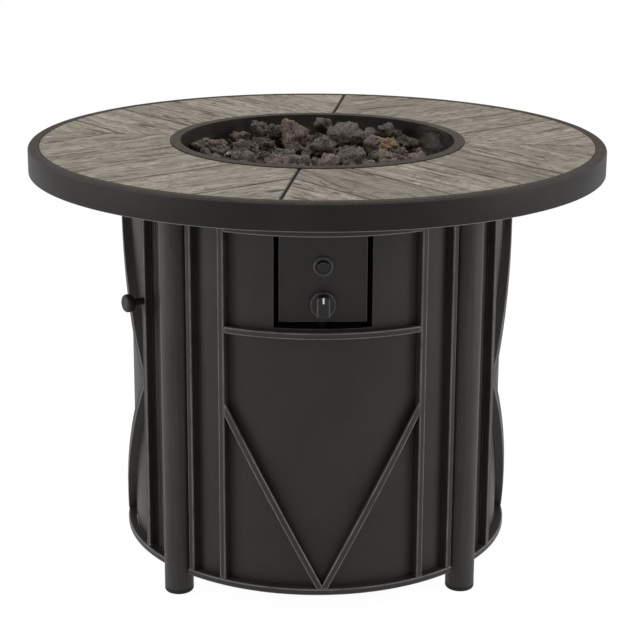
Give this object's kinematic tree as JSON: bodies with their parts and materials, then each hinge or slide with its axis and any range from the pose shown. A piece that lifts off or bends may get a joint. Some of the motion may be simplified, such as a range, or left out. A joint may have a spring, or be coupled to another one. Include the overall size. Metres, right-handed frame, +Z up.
{
  "type": "gas fire pit table",
  "caption": "Round gas fire pit table with wood-look slabs, a lava rock burner bowl, tube legs, a barred steel drum with a hinged tank door, a gas knob and a push-button igniter.",
  "frame": {"origin": "on the ground under the centre of the round top", "axes": "+Z up, the controls face -Y, the tank door is on the -X side"},
  "size_m": [0.9143, 0.9144, 0.6745],
  "materials": {
    "charcoal_paint": "satin charcoal powder coat",
    "door_hardware": "satin black-brown powder coat",
    "bowl_black": "heat-proof satin black",
    "plank_stone": "matt cast stone, moulded and stained as weathered planks",
    "lava": "rough lava rock",
    "lava_bed": "rough lava rock",
    "burner_steel": "brushed stainless steel",
    "fastener_steel": "zinc-plated steel",
    "valve_brass": "cast and turned brass",
    "gas_aluminium": "drawn tube",
    "copper_lead": "drawn copper",
    "spark_ceramic": "unglazed white ceramic",
    "lead_rubber": "matt black sleeve",
    "knob_plastic": "satin black moulding",
    "pointer_white": "white inlay",
    "igniter_plastic": "satin black moulding",
    "button_plastic": "glossy black moulding",
    "battery_case": "plain grey wrap",
    "catch_plastic": "brown-black moulding",
    "foot_rubber": "matt black"
  },
  "bodies": {
    "frame": {"top_rim": "charcoal_paint", "top_pan": "charcoal_paint", "leg_front_right": "charcoal_paint", "leg_back_right": "charcoal_paint", "leg_back_left": "charcoal_paint", "leg_front_left": "charcoal_paint", "base_plate": "charcoal_paint", "tank_ring": "charcoal_paint", "front_panel": "charcoal_paint", "front_crossbar": "charcoal_paint", "front_v_bars": "charcoal_paint", "right_panel": "charcoal_paint", "back_panel": "charcoal_paint", "fixed_diamonds": "charcoal_paint", "foot_rails": "charcoal_paint", "head_rails": "charcoal_paint", "uprights": "charcoal_paint", "door_jambs": "charcoal_paint", "control_plate": "charcoal_paint", "jamb_hinge_leaves": "door_hardware", "burner_bowl": "bowl_black", "slab_left": "plank_stone", "slab_right": "plank_stone", "lava_rocks": "lava", "rock_fill": "lava_bed", "burner": "burner_steel", "air_mixer": "burner_steel", "burner_nut": "burner_steel", "pilot_bracket": "burner_steel", "pilot_cover": "burner_steel", "heat_shield": "burner_steel", "shield_spacers": "burner_steel", "leg_bolts": "fastener_steel", "plate_screws": "fastener_steel", "valve_screws": "fastener_steel", "hinge_pins": "fastener_steel", "gas_valve": "valve_brass", "valve_inlet": "valve_brass", "gas_tube": "gas_aluminium", "thermocouple": "copper_lead", "electrode": "spark_ceramic", "spark_lead": "lead_rubber", "igniter_body": "igniter_plastic", "igniter_nut": "igniter_plastic", "igniter_battery": "battery_case", "magnet_catch": "catch_plastic", "foot_caps": "foot_rubber"},
    "door": {"door_sheet": "charcoal_paint", "door_stiles": "charcoal_paint", "door_diamond": "charcoal_paint", "door_pull": "door_hardware", "door_pull_screw": "fastener_steel", "door_hinge_leaves": "door_hardware", "catch_strike": "fastener_steel"},
    "plunger": {"valve_plunger": "valve_brass"},
    "knob": {"valve_stem": "fastener_steel", "knob": "knob_plastic", "knob_pointer": "pointer_white"},
    "button": {"igniter_button": "button_plastic"}
  },
  "joints": [
    {"name": "door_hinge", "type": "hinge", "parent": "frame", "child": "door", "pos_m": [-0.25487, 0.16934, 0], "axis": [0, 0, -1], "range_deg": [0, 110]},
    {"name": "knob_push", "type": "slide", "parent": "frame", "child": "plunger", "axis": [0, 1, 0], "range_m": [0, 0.003], "stiffness_N_per_m": 2000},
    {"name": "knob_turn", "type": "hinge", "parent": "plunger", "child": "knob", "pos_m": [0, -0.29, 0.4835], "axis": [0, -1, 0], "range_deg": [0, 180]},
    {"name": "igniter_press", "type": "slide", "parent": "frame", "child": "button", "axis": [0, 1, 0], "range_m": [0, 0.003], "stiffness_N_per_m": 1500}
  ]
}
